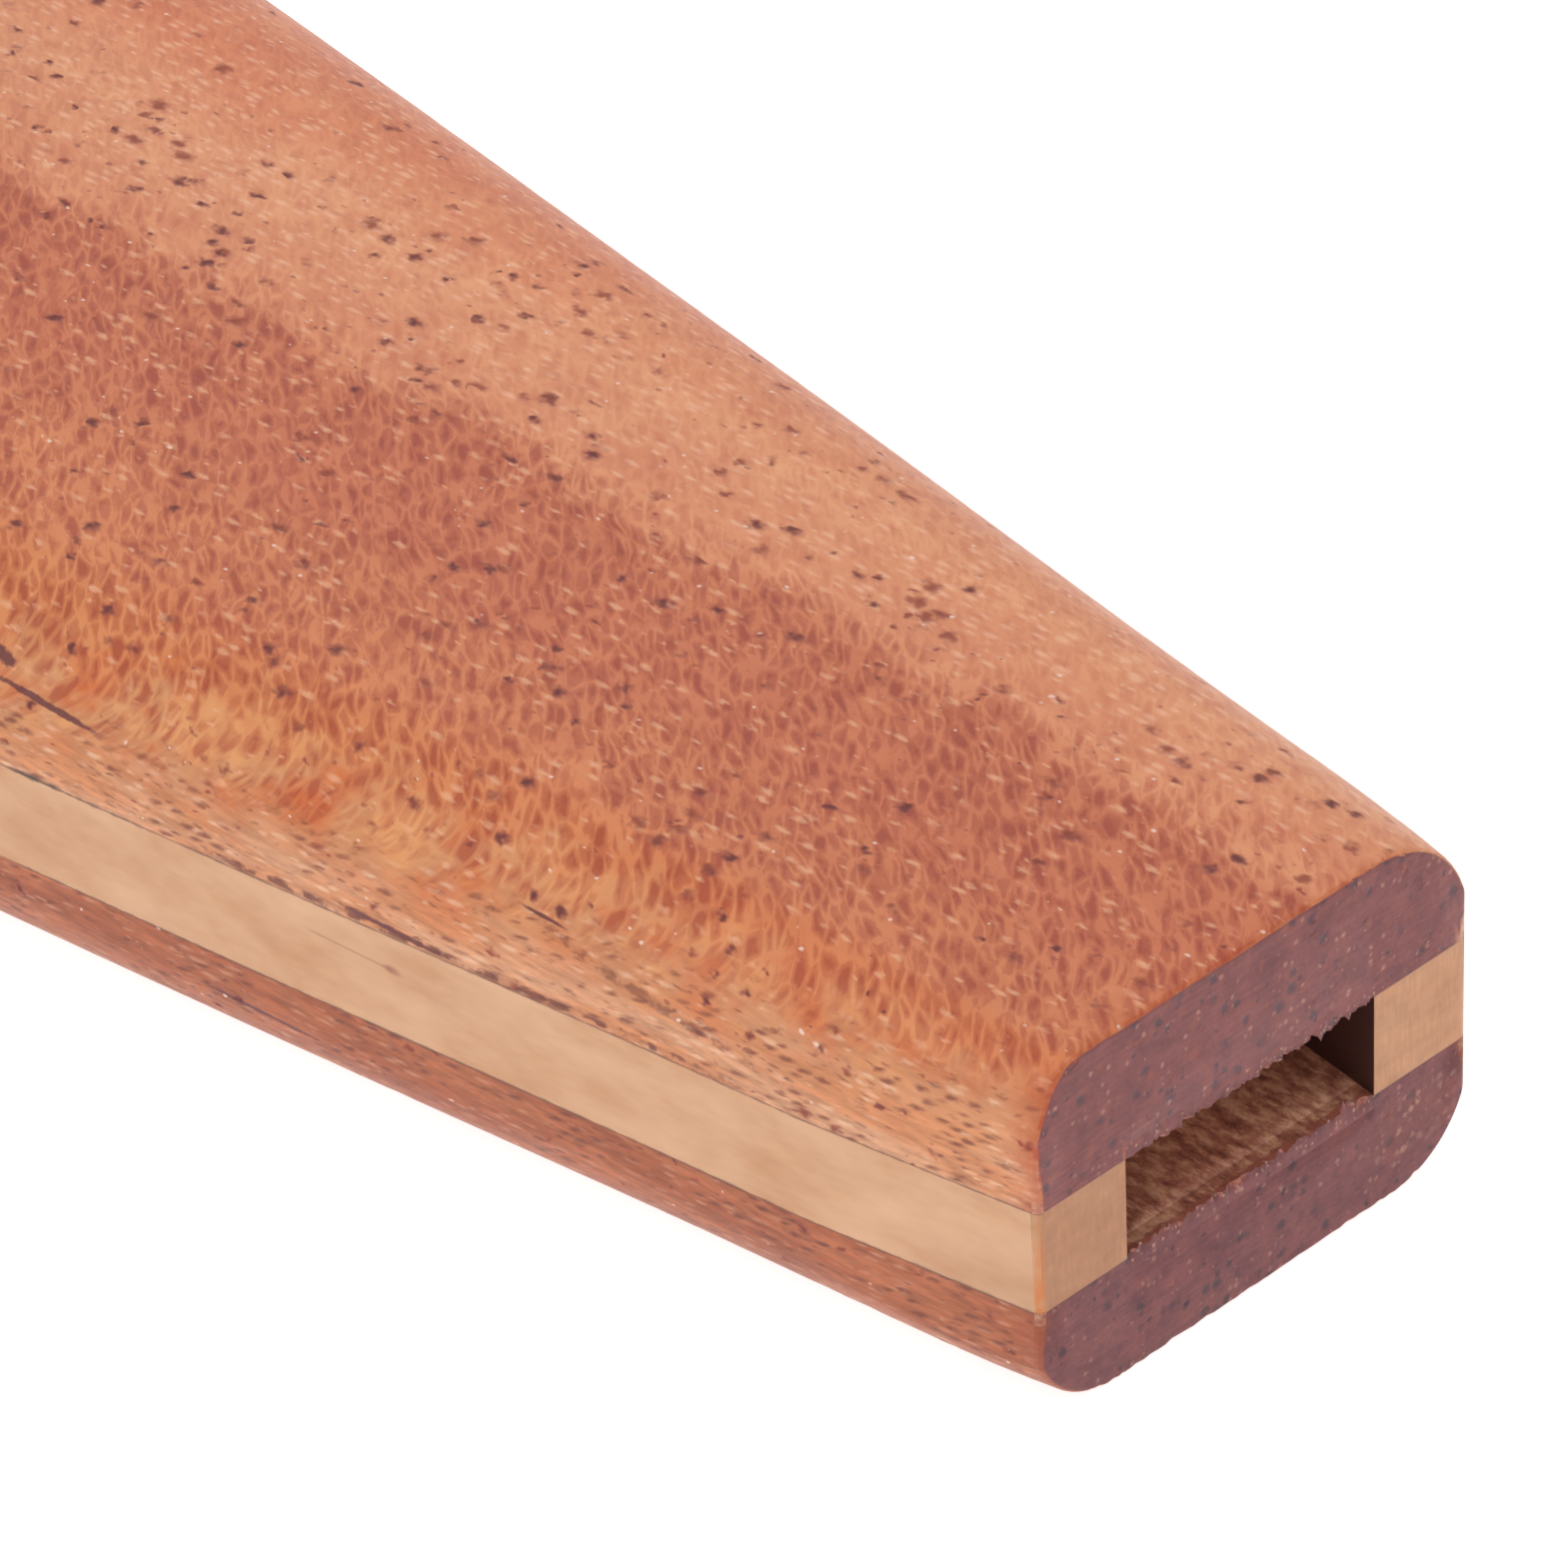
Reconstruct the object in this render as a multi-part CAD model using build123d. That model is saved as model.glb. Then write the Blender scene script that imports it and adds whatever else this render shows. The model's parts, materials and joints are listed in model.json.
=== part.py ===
from build123d import *

import math
import os

# Flat wooden kazoo, laminated from three layers, with a screw-down membrane turret.
# Frame: +Z up, +Y along the length from the mouth end to the tail, +X across the width.
# The origin is on the resting face, under the middle of the body. All values are in millimetres.

# --- laminated body: driving sizes ------------------------------------------------------
BOTTOM_T = 4.9            # thickness of the lower board
CORE_T = 4.2              # thickness of the middle layer, and height of the sound channel
TOP_T = 5.5               # thickness of the upper board
BODY_T = BOTTOM_T + CORE_T + TOP_T
CORE_Z0 = BOTTOM_T
CORE_Z1 = BOTTOM_T + CORE_T

MOUTH_HALF_W = 10.5       # half width of the mouth end
TAPER = 0.16              # gain in half width per millimetre of length at the mouth
TAPER_FALL = 0.00016      # how fast that gain dies away, per millimetre
NECK_L = 92.0             # from the mouth end to where the neck meets the round bowl
TAIL_CUT = 118.0          # from the mouth end to the flat tail, the overall length

BOWL_ROUND = (7.9, 5.2)   # upper round-over at the bowl, across and down
RIGHT_ROUND = (4.7, 5.1)  # the same at the mouth, on the right edge
LEFT_ROUND = (2.3, 4.7)   # and on the left edge, which is left squarer
LEFT_ROUND_L = 70.0       # length over which the left round-over grows to the bowl's
UNDER_R = 3.9             # lower round-over, the same all along
MOUTH_EASE_R = 0.25       # eased arris round the mouth end, and round the tail
TAIL_EASE_R = 0.35
MOUTH_ARRIS_R = (0.35, 0.7)   # the mouth's left and right standing arrises
LEFT_SANDED = 0.2         # sanded off the left side at the mouth, dying away along the neck
SANDED_SPLAY = 0.03       # how fast it dies away, per millimetre

# --- sound channel, cut right through the middle layer ----------------------------------
SLOT_HALF_W = 5.98
SLOT_SHIFT = -0.25        # the slot is cut a little left of the middle at the mouth
CHAMBER_R = 17.0
TAIL_SLOT_HALF_W = 7.0

# --- turret on the bowl -----------------------------------------------------------------
SEAT_DEPTH = 3.6          # how deep the collar's sleeve sits in the upper board
SLEEVE_R = 11.4
FLANGE_R = 15.8
FLANGE_T = 1.2
WALL_R = 12.2             # outside of the collar above its flange
COLLAR_H = 5.0            # collar's height above the upper board
THREAD_BORE_R = 10.4      # inside of the collar, where the cap screws in
LIP_R = 8.6               # opening in the lip that carries the gasket
LIP_T = 1.0
GASKET_T = 0.8
MEMBRANE_T = 0.15
SLIP_T = 0.8
STACK_R = 9.9             # outside of the gasket, membrane and slip ring, clear of the thread
SPIGOT_GAP = 0.08         # radial gap round the cap's spigot
BOARD_HOLE_R = 9.4        # hole in the upper board under the collar

CAP_GAP = 0.3             # space left between cap and collar when the cap is home
CAP_H = 3.2
CAP_R = 13.6
CAP_HOLE_R = 5.2
SPIGOT_WALL = 1.7
CAP_WEB_T = 1.6           # thickness of the cap's roof round its hole

SCREW_COUNT = 4
SCREW_CIRCLE_R = 14.0
SCREW_HEAD_R = 1.25
SCREW_HEAD_H = 0.7
SCREW_SHANK_R = 0.6
SCREW_L = 4.6
SCREW_SLOT_W = 0.32
SCREW_SLOT_D = 0.35
SCREW_CLEARANCE = 0.05


def neck_half_width(s):
    """Half width of the neck at a distance s from the mouth end."""
    return MOUTH_HALF_W + TAPER * s - TAPER_FALL * s * s


# the bowl is a circle that the neck's sides run into without a kink
NECK_ANGLE = math.atan(TAPER - 2 * TAPER_FALL * NECK_L)
BOWL_R = neck_half_width(NECK_L) / math.cos(NECK_ANGLE)
BOWL_S = NECK_L + BOWL_R * math.sin(NECK_ANGLE)
Y0 = -TAIL_CUT / 2        # the mouth end's place along Y
BOWL_Y = Y0 + BOWL_S


def half_width(s):
    """Half width of the body from the mouth end to the middle of the bowl."""
    if s <= NECK_L:
        return neck_half_width(s)
    return math.sqrt(BOWL_R**2 - (BOWL_S - s) ** 2)


def round_over(side, s):
    """Upper round-over on one side at a distance s from the mouth end: across, down."""
    if side > 0:
        start = RIGHT_ROUND
        t = min(s / NECK_L, 1.0)
    else:
        start = LEFT_ROUND
        t = min(s / LEFT_ROUND_L, 1.0)
        t = t * (2 - t)
    return tuple(m + (b - m) * t for m, b in zip(start, BOWL_ROUND))


def corner(side, across, z_side, z_flat, run):
    """A quarter of an ellipse from the side wall to the flat face, as one Bezier edge."""
    k = 0.5523            # handle length that makes a cubic follow a quarter ellipse
    wall = (side * across, z_side)
    flat = (side * (across - run), z_flat)
    handle_a = (wall[0], z_side + k * (z_flat - z_side))
    handle_b = (flat[0] + side * k * run, z_flat)
    return [wall, handle_a, handle_b, flat]


def section_edges(side, w, across, down):
    """Half of the cross-section on one side, from the top's middle to the bottom's."""
    upper = corner(side, w, BODY_T - down, BODY_T, across)
    lower = corner(side, w, UNDER_R, 0.0, UNDER_R)
    return [
        Line((0, BODY_T), upper[3]),
        Bezier(*reversed(upper)),
        Line(upper[0], lower[0]),
        Bezier(*lower),
        Line(lower[3], (0, 0)),
    ]


def body_section(s):
    """Whole cross-section of the body, standing across the length at s."""
    edges = []
    for side in (1, -1):
        edges += section_edges(side, half_width(s), *round_over(side, s))
    plane = Plane(origin=(0, Y0 + s, 0), x_dir=(1, 0, 0), z_dir=(0, -1, 0))
    return plane * make_face(edges)


def make_body():
    """The whole laminated block as one solid, before it is divided into its layers."""
    stations = [0, 14, 28, 42, 56, 70, 82, NECK_L, BOWL_S]
    neck = loft([body_section(s) for s in stations])
    half = section_edges(1, BOWL_R, *BOWL_ROUND)
    profile = Plane.XZ * make_face(half + [Line((0, 0), (0, BODY_T))])
    bowl = Pos(0, BOWL_Y, 0) * revolve(profile, Axis.Z, 360)
    keep_l = TAIL_CUT - BOWL_S
    bowl &= Pos(0, BOWL_Y + keep_l / 2, BODY_T / 2) * Box(4 * BOWL_R, keep_l, 2 * BODY_T)
    body = ease_end(neck + bowl, Y0 + TAIL_CUT, TAIL_EASE_R)
    return round_mouth(ease_end(body, Y0, MOUTH_EASE_R))


def ease_end(body, y, radius):
    """Rounds the arris between an end face and everything it meets."""
    rim = body.edges().filter_by_position(Axis.Y, y - 0.01, y + 0.01)
    return fillet(rim, radius)


def round_mouth(body):
    """Rounds the two standing arrises of the mouth end, and sands the left side back a little."""
    reach = 2 * TAIL_CUT
    far_w = MOUTH_HALF_W + (TAPER + SANDED_SPLAY) * reach
    near = [(LEFT_SANDED - MOUTH_HALF_W, Y0), (MOUTH_HALF_W, Y0)]
    far = [(far_w, Y0 + reach), (LEFT_SANDED - far_w, Y0 + reach)]
    plan = Polygon(*near, *far, align=None)
    for corner_x, radius in zip((near[0][0], near[1][0]), MOUTH_ARRIS_R):
        arris = plan.vertices().filter_by(lambda v: v.Y < Y0 + 1).sort_by_distance((corner_x, Y0, 0))[0]
        plan = fillet(arris, radius)
    return body & extrude(Pos(0, 0, -1) * plan, BODY_T + 2)


def layer(body, z_low, z_high):
    """The slice of the body between two heights."""
    slab = Pos(0, 0, (z_low + z_high) / 2) * Box(6 * BOWL_R, 2 * TAIL_CUT, z_high - z_low)
    return body & slab


def neck_wall(side, over):
    """One straight wall of the channel: where it touches the chamber, and its outer end."""
    start = side * SLOT_HALF_W + SLOT_SHIFT
    out = abs(start)
    turn = math.acos(CHAMBER_R / math.hypot(BOWL_S, out)) - math.atan2(out, BOWL_S)
    touch = (side * CHAMBER_R * math.sin(turn), BOWL_Y - CHAMBER_R * math.cos(turn))
    slope = (touch[0] - start) / (touch[1] - Y0)
    return touch, (start - slope * over, Y0 - over)


def channel():
    """The air space in the middle layer: tapered neck, round chamber and tail slot."""
    over = 2.0            # how far the cutter runs past each end
    right, right_mouth = neck_wall(1, over)
    left, left_mouth = neck_wall(-1, over)
    neck = Polygon(right_mouth, right, left, left_mouth, align=None)
    chamber = Pos(0, BOWL_Y) * Circle(CHAMBER_R)
    tail_l = TAIL_CUT - BOWL_S + over
    tail = Pos(0, BOWL_Y + tail_l / 2) * Rectangle(2 * TAIL_SLOT_HALF_W, tail_l)
    return extrude(Pos(0, 0, CORE_Z0 - 1) * (neck + chamber + tail), CORE_T + 2)


def screw_places():
    """Where the collar's screws stand, around the bowl's middle."""
    return [
        Pos(
            SCREW_CIRCLE_R * math.cos(math.radians(a)),
            BOWL_Y + SCREW_CIRCLE_R * math.sin(math.radians(a)),
            BODY_T + FLANGE_T,
        )
        for a in (45 + i * 360 / SCREW_COUNT for i in range(SCREW_COUNT))
    ]


def screw_blank(grow=0.0):
    """A countersunk wood screw, head up, its head's top at the origin."""
    head_r, shank_r = SCREW_HEAD_R + grow, SCREW_SHANK_R + grow
    head = Pos(0, 0, -SCREW_HEAD_H / 2) * Cone(shank_r, head_r, SCREW_HEAD_H)
    tip_l = 1.2
    shank_l = SCREW_L - SCREW_HEAD_H - tip_l
    shank = Pos(0, 0, -SCREW_HEAD_H - shank_l / 2) * Cylinder(shank_r, shank_l)
    tip_z = -SCREW_HEAD_H - shank_l - tip_l / 2
    tip = Pos(0, 0, tip_z) * Cone(0.15 + grow, shank_r, tip_l)
    return head + shank + tip


def ring(outer, inner, z_low, height):
    """A flat ring about the bowl's middle."""
    whole = Cylinder(outer, height) - Cylinder(inner, 2 * height)
    return Pos(0, BOWL_Y, z_low + height / 2) * whole


def make_top_board(body):
    board = layer(body, CORE_Z1, BODY_T + 1)
    board -= Pos(0, BOWL_Y, BODY_T) * Cylinder(BOARD_HOLE_R, 3 * TOP_T)
    board -= Pos(0, BOWL_Y, BODY_T) * Cylinder(SLEEVE_R, 2 * SEAT_DEPTH)
    for place in screw_places():
        board -= place * screw_blank(SCREW_CLEARANCE)
    return board


def make_collar():
    """Turned collar: sleeve in the board, flange on it, threaded wall above, lip inside."""
    z_foot = BODY_T - SEAT_DEPTH
    z_rim = BODY_T + COLLAR_H
    rim_ease = 0.35
    outline = [
        (LIP_R, z_foot),
        (SLEEVE_R, z_foot),
        (SLEEVE_R, BODY_T),
        (FLANGE_R, BODY_T),
        (FLANGE_R, BODY_T + FLANGE_T - rim_ease),
        (FLANGE_R - rim_ease, BODY_T + FLANGE_T),
        (WALL_R, BODY_T + FLANGE_T),
        (WALL_R, z_rim - rim_ease),
        (WALL_R - rim_ease, z_rim),
        (THREAD_BORE_R + rim_ease, z_rim),
        (THREAD_BORE_R, z_rim - rim_ease),
        (THREAD_BORE_R, z_foot + LIP_T),
        (LIP_R, z_foot + LIP_T),
    ]
    collar = Pos(0, BOWL_Y, 0) * revolve(Plane.XZ * Polygon(*outline, align=None), Axis.Z, 360)
    for place in screw_places():
        collar -= place * screw_blank(SCREW_CLEARANCE)
    return collar


def make_screws():
    """The collar's screws, each head slotted at its own angle as it was driven."""
    slots = (20, 75, 130, 165)
    screws = []
    for place, angle in zip(screw_places(), slots):
        slot = Rot(0, 0, angle) * Box(4 * SCREW_HEAD_R, SCREW_SLOT_W, 2 * SCREW_SLOT_D)
        screws.append(place * (screw_blank() - slot))
    return Compound(children=screws)


# the stack inside the collar, from the lip up
GASKET_Z = BODY_T - SEAT_DEPTH + LIP_T
MEMBRANE_Z = GASKET_Z + GASKET_T
SLIP_Z = MEMBRANE_Z + MEMBRANE_T
SPIGOT_Z = SLIP_Z + SLIP_T
CAP_Z = BODY_T + COLLAR_H + CAP_GAP
SPIGOT_R = THREAD_BORE_R - SPIGOT_GAP


def make_membrane():
    thickness = Pos(0, BOWL_Y, MEMBRANE_Z + MEMBRANE_T / 2)
    return thickness * Cylinder(STACK_R, MEMBRANE_T)


def make_cap():
    """Screw cap: a hollow spigot that goes down into the collar, and a wide head."""
    z_top = CAP_Z + CAP_H
    spigot_in = SPIGOT_R - SPIGOT_WALL
    z_web = z_top - CAP_WEB_T
    crown = 0.9
    outline = [
        (spigot_in, SPIGOT_Z),
        (SPIGOT_R, SPIGOT_Z),
        (SPIGOT_R, CAP_Z),
        (CAP_R, CAP_Z),
        (CAP_R, z_top - crown),
        (CAP_R - crown, z_top),
        (CAP_HOLE_R + crown, z_top),
        (CAP_HOLE_R, z_top - crown),
        (CAP_HOLE_R, z_web),
        (spigot_in, z_web),
    ]
    return Pos(0, BOWL_Y, 0) * revolve(Plane.XZ * Polygon(*outline, align=None), Axis.Z, 360)


def main():
    os.makedirs("parts", exist_ok=True)
    body = make_body()
    core = layer(body, CORE_Z0, CORE_Z1) - channel()
    left, right = sorted(core.solids(), key=lambda strip: strip.center().X)
    nodes = {
        "top_board": make_top_board(body),
        "bottom_board": layer(body, -1, CORE_Z0),
        "left_core_strip": left,
        "right_core_strip": right,
        "collar": make_collar(),
        "collar_screws": make_screws(),
        "gasket": ring(STACK_R, LIP_R, GASKET_Z, GASKET_T),
        "membrane": make_membrane(),
        "slip_ring": ring(STACK_R, LIP_R, SLIP_Z, SLIP_T),
        "cap": make_cap(),
    }
    for name, shape in nodes.items():
        export_step(shape, f"parts/{name}.step")


main()
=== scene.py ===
import json
import math

import bpy
from mathutils import Matrix, Vector, noise

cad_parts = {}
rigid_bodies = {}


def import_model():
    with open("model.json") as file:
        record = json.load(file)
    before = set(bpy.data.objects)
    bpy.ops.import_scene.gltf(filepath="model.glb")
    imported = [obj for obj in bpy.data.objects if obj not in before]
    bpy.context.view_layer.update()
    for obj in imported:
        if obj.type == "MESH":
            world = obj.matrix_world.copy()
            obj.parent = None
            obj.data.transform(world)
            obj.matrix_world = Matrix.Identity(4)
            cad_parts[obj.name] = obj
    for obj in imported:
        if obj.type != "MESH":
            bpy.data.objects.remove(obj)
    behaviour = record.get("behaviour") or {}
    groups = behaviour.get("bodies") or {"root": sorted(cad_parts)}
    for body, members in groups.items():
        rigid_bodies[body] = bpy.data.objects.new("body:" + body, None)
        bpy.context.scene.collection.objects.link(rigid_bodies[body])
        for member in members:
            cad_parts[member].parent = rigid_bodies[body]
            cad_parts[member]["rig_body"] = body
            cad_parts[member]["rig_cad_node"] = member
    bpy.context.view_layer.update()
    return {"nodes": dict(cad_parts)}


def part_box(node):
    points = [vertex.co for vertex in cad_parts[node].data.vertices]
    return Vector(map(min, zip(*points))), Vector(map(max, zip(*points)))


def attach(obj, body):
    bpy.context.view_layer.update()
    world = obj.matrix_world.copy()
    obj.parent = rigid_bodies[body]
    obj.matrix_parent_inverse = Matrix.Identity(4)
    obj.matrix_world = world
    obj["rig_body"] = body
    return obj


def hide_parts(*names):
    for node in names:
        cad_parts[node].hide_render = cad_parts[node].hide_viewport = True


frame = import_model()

mm = 0.001


def clearSelection():
    if bpy.context.object and bpy.context.object.mode != "OBJECT":
        bpy.ops.object.mode_set(mode="OBJECT")
    bpy.ops.object.select_all(action="DESELECT")


def pick(piece):
    clearSelection()
    piece.select_set(True)
    bpy.context.view_layer.objects.active = piece
    return piece


def settle(piece):
    pick(piece)
    bpy.ops.object.transform_apply(location=True, rotation=True, scale=True)
    return piece


def editAll(piece):
    pick(piece)
    bpy.ops.object.mode_set(mode="EDIT")
    bpy.ops.mesh.select_all(action="SELECT")


def closeEdit():
    bpy.ops.object.mode_set(mode="OBJECT")


def clearPicks(piece):
    for part in (piece.data.vertices, piece.data.edges, piece.data.polygons):
        for item in part:
            item.select = False


def softShade(piece, degrees):
    # smooth round bends, while wide flat faces keep their own direction up to the edge
    pick(piece)
    bpy.ops.object.shade_smooth_by_angle(angle=math.radians(degrees))
    even = piece.modifiers.new("evenNormals", "WEIGHTED_NORMAL")
    even.weight = 100
    even.keep_sharp = True
    bpy.ops.object.modifier_apply(modifier=even.name)
    return piece


def copyOfNode(node, name):
    piece = frame["nodes"][node].copy()
    piece.data = piece.data.copy()
    piece.name = name
    piece.data.name = name
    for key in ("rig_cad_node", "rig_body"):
        if key in piece:
            del piece[key]
    bpy.context.scene.collection.objects.link(piece)
    piece.parent = None
    piece.matrix_world = Matrix.Identity(4)
    editAll(piece)
    bpy.ops.mesh.remove_doubles(threshold=0.000002)
    closeEdit()
    return piece


def fuse(piece, others):
    pick(piece)
    for other in others:
        other.select_set(True)
    bpy.ops.object.join()
    return piece


def cutAway(piece, tool):
    pick(piece)
    cut = piece.modifiers.new("cut", "BOOLEAN")
    cut.operation = "DIFFERENCE"
    cut.solver = "EXACT"
    cut.object = tool
    bpy.ops.object.modifier_apply(modifier=cut.name)
    bpy.data.objects.remove(tool)


# the next few add one shader node each and give back its output
def put(tree, kind, inputs=None, **settings):
    node = tree.nodes.new(kind)
    for key, value in settings.items():
        setattr(node, key, value)
    for key, value in (inputs or {}).items():
        if isinstance(value, bpy.types.NodeSocket):
            tree.links.new(value, node.inputs[key])
        else:
            node.inputs[key].default_value = value
    return node


def calc(tree, operation, a, b=0.0):
    return put(tree, "ShaderNodeMath", {0: a, 1: b}, operation=operation).outputs[0]


def times(tree, a, b):
    return calc(tree, "MULTIPLY", a, b)


def plus(tree, a, b):
    return calc(tree, "ADD", a, b)


def minus(tree, a, b):
    return calc(tree, "SUBTRACT", a, b)


def over(tree, a, b):
    return calc(tree, "DIVIDE", a, b)


def larger(tree, a, b):
    return calc(tree, "MAXIMUM", a, b)


def positive(tree, a):
    return calc(tree, "ABSOLUTE", a)


def between(tree, value, low, high, outLow=0.0, outHigh=1.0):
    inputs = {"Value": value, "From Min": low, "From Max": high, "To Min": outLow, "To Max": outHigh}
    return put(tree, "ShaderNodeMapRange", inputs, interpolation_type="SMOOTHSTEP").outputs[0]


def mixColour(tree, factor, a, b, mode="MIX"):
    node = put(tree, "ShaderNodeMix", {0: factor, 6: a, 7: b}, data_type="RGBA", blend_type=mode)
    return node.outputs[2]


def tinted(tree, colour, tint):
    return mixColour(tree, 1.0, colour, tint, "MULTIPLY")


def timesVector(tree, vector, factors):
    return put(tree, "ShaderNodeVectorMath", {0: vector, 1: factors}, operation="MULTIPLY").outputs[0]


def plusVector(tree, vector, other):
    return put(tree, "ShaderNodeVectorMath", {0: vector, 1: other}, operation="ADD").outputs[0]


def split(tree, vector):
    return put(tree, "ShaderNodeSeparateXYZ", {0: vector}).outputs


def dotWith(tree, vector, direction):
    node = put(tree, "ShaderNodeVectorMath", {0: vector, 1: direction}, operation="DOT_PRODUCT")
    return node.outputs["Value"]


def roughNoise(tree, vector, scale, detail=2.0, roughness=0.5):
    inputs = {"Vector": vector, "Scale": scale, "Detail": detail, "Roughness": roughness}
    return put(tree, "ShaderNodeTexNoise", inputs).outputs["Fac"]


def longNoise(tree, vector, factors, detail=2.0, roughness=0.5):      # noise drawn out along the fibres
    return roughNoise(tree, timesVector(tree, vector, factors), 1.0, detail, roughness)


def ramp(tree, factor, stops):
    node = put(tree, "ShaderNodeValToRGB", {"Fac": factor})
    band = node.color_ramp
    while len(band.elements) < len(stops):
        band.elements.new(1.0)
    for element, (place, colour) in zip(band.elements, stops):
        element.position = place
        element.color = colour
    return node.outputs["Color"]


def grey(value):
    return (value, value, value, 1)


def tone(red, green, blue):               # a colour as seen on a screen, 0 to 255, in linear light
    def linear(value):
        value /= 255
        return value / 12.92 if value <= 0.04045 else ((value + 0.055) / 1.055) ** 2.4
    return (linear(red), linear(green), linear(blue), 1)


def newGroup(name, inputs, outputs):
    group = bpy.data.node_groups.new(name, "ShaderNodeTree")
    for label, kind, value in inputs:
        socket = group.interface.new_socket(name=label, in_out="INPUT", socket_type=kind)
        if value is not None:
            socket.default_value = value
    for label, kind in outputs:
        group.interface.new_socket(name=label, in_out="OUTPUT", socket_type=kind)
    return group, group.nodes.new("NodeGroupInput").outputs, group.nodes.new("NodeGroupOutput").inputs


def useGroup(tree, group, inputs):
    node = tree.nodes.new("ShaderNodeGroup")
    node.node_tree = group
    for key, value in inputs.items():
        if isinstance(value, bpy.types.NodeSocket):
            tree.links.new(value, node.inputs[key])
        else:
            node.inputs[key].default_value = value
    return node.outputs


def makeCellMarks():
    # scattered spindle marks: pores, fine dashes, specks and streaks, by the size of their cells
    group, given, out = newGroup(
        "cellMarks",
        [("Vector", "NodeSocketVector", None), ("Cells", "NodeSocketVector", (1, 1, 1)),
         ("Radius", "NodeSocketFloat", 0.2), ("Amount", "NodeSocketFloat", 0.5),
         ("Wobble", "NodeSocketFloat", 0.1), ("Softness", "NodeSocketFloat", 0.5),
         ("Disorder", "NodeSocketFloat", 0.95)],
        [("Mask", "NodeSocketFloat"), ("Core", "NodeSocketFloat"), ("Shade", "NodeSocketFloat")])
    inCells = timesVector(group, given["Vector"], given["Cells"])
    wander = put(group, "ShaderNodeTexNoise",
                 {"Vector": inCells, "Scale": 2.6, "Detail": 1.0}).outputs["Color"]
    wander = plusVector(group, wander, (-0.5, -0.5, -0.5))
    wander = put(group, "ShaderNodeVectorMath", {0: wander, "Scale": given["Wobble"]}, operation="SCALE")
    place = plusVector(group, inCells, wander.outputs[0])
    cell = put(group, "ShaderNodeTexVoronoi",
               {"Vector": place, "Scale": 1.0, "Randomness": given["Disorder"]}).outputs
    luck = put(group, "ShaderNodeSeparateColor", {0: cell["Color"]}).outputs
    reach = times(group, given["Radius"], between(group, luck[1], 0.0, 1.0, 0.55, 1.2))
    firm = times(group, reach, minus(group, 1.0, given["Softness"]))
    kept = calc(group, "LESS_THAN", luck[0], given["Amount"])
    mark = times(group, between(group, cell["Distance"], reach, firm), kept)
    core = between(group, cell["Distance"], times(group, reach, 0.72), times(group, firm, 0.6))
    group.links.new(mark, out["Mask"])
    group.links.new(times(group, core, kept), out["Core"])
    group.links.new(luck[2], out["Shade"])
    return group


def marks(tree, vector, cells, radius, amount, wobble, softness, disorder=0.95):
    return useGroup(tree, cellMarks,
                    {"Vector": vector, "Cells": cells, "Radius": radius, "Amount": amount,
                     "Wobble": wobble, "Softness": softness, "Disorder": disorder})


def makeRipple():
    # storied figure: rows of slanting scales that show as short diagonal dashes on the flat face,
    # and swing round into arcs where the edge is rounded
    group, given, out = newGroup(
        "ripple",
        [("Vector", "NodeSocketVector", None), ("Pitch", "NodeSocketFloat", 0.44),
         ("Length", "NodeSocketFloat", 0.95), ("Curl", "NodeSocketFloat", 0.25),
         ("Crown", "NodeSocketFloat", 0.0)],
        [("Dark", "NodeSocketFloat"), ("Vein", "NodeSocketFloat")])
    x, _, z = split(group, given["Vector"])
    deep = larger(group, minus(group, given["Crown"], z), 0.0)
    curl = times(group, times(group, deep, deep), given["Curl"])
    flat = dotWith(group, given["Vector"], (0.7071, -0.7071, 0.0))
    along = dotWith(group, given["Vector"], (0.7071, 0.7071, 0.0))
    sway = times(group, minus(group, roughNoise(group, given["Vector"], 0.3, 2.0), 0.5), 2.4)
    phase = plus(group, over(group, plus(group, flat, curl), given["Pitch"]), sway)
    rows = over(group, plus(group, x, times(group, sway, 0.3)), given["Length"])
    place = put(group, "ShaderNodeCombineXYZ", {0: phase, 1: rows, 2: times(group, deep, 0.8)}).outputs[0]
    edge = put(group, "ShaderNodeTexVoronoi", {"Vector": place, "Scale": 1.0, "Randomness": 0.85},
               feature="DISTANCE_TO_EDGE").outputs["Distance"]
    luck = put(group, "ShaderNodeTexVoronoi",
               {"Vector": place, "Scale": 1.0, "Randomness": 0.85}).outputs["Color"]
    luck = minus(group, put(group, "ShaderNodeSeparateColor", {0: luck}).outputs[0], 0.5)
    coarse = put(group, "ShaderNodeCombineXYZ",
                 {0: times(group, phase, 0.9), 1: times(group, along, 0.8),
                  2: times(group, deep, 0.7)}).outputs[0]
    coarse = minus(group, roughNoise(group, coarse, 0.9, 3.0, 0.6), 0.5)
    level = plus(group, between(group, edge, 0.0, 0.30, -0.26, 0.14), times(group, coarse, 1.25))
    level = plus(group, level, times(group, luck, 0.22))
    group.links.new(between(group, level, -0.02, 0.26), out["Dark"])
    group.links.new(between(group, level, -0.04, -0.34), out["Vein"])
    return group


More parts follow.
